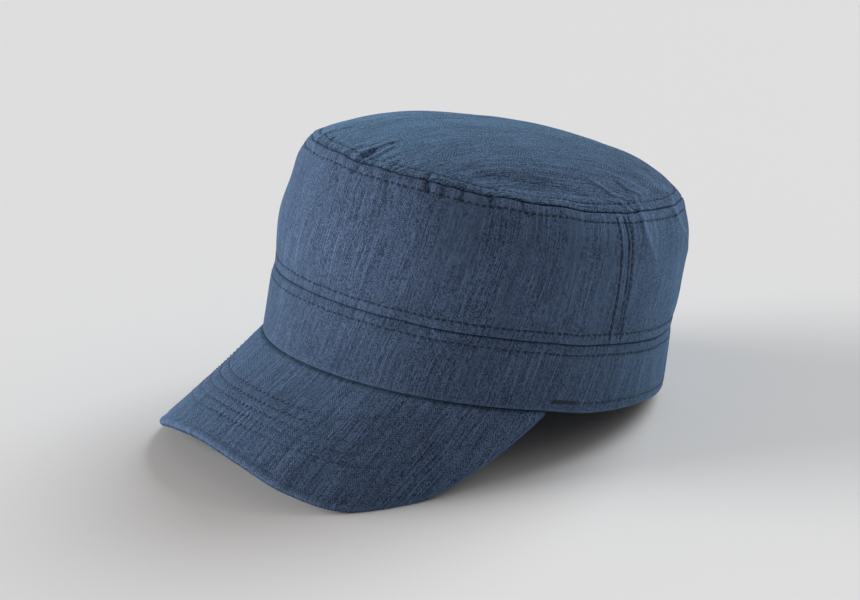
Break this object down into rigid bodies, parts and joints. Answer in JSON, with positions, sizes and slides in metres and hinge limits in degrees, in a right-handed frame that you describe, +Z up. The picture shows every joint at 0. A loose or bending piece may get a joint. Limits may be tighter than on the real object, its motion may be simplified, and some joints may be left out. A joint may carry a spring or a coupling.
{
  "type": "work cap",
  "caption": "Soft twill work cap with an oval domed top, upright side panels, a plain band and a short curved peak, resting empty and leaning back.",
  "frame": {"origin": "on the table that the cap rests on, under the middle of its box", "axes": "-Y to the front, over the peak; +X to the wearer's left; +Z up from the table"},
  "size_m": [0.1748, 0.2646, 0.1396],
  "materials": {
    "twill": "slubbed blue cotton twill, matt, tone-on-tone stitching",
    "band_twill": "the same twill, doubled, matt",
    "peak_twill": "the same twill over a stiff board, with rows of stitching"
  },
  "bodies": {
    "root": {"crown_top": "twill", "side_front": "twill", "side_back": "twill", "band": "band_twill", "peak": "peak_twill"}
  },
  "joints": []
}
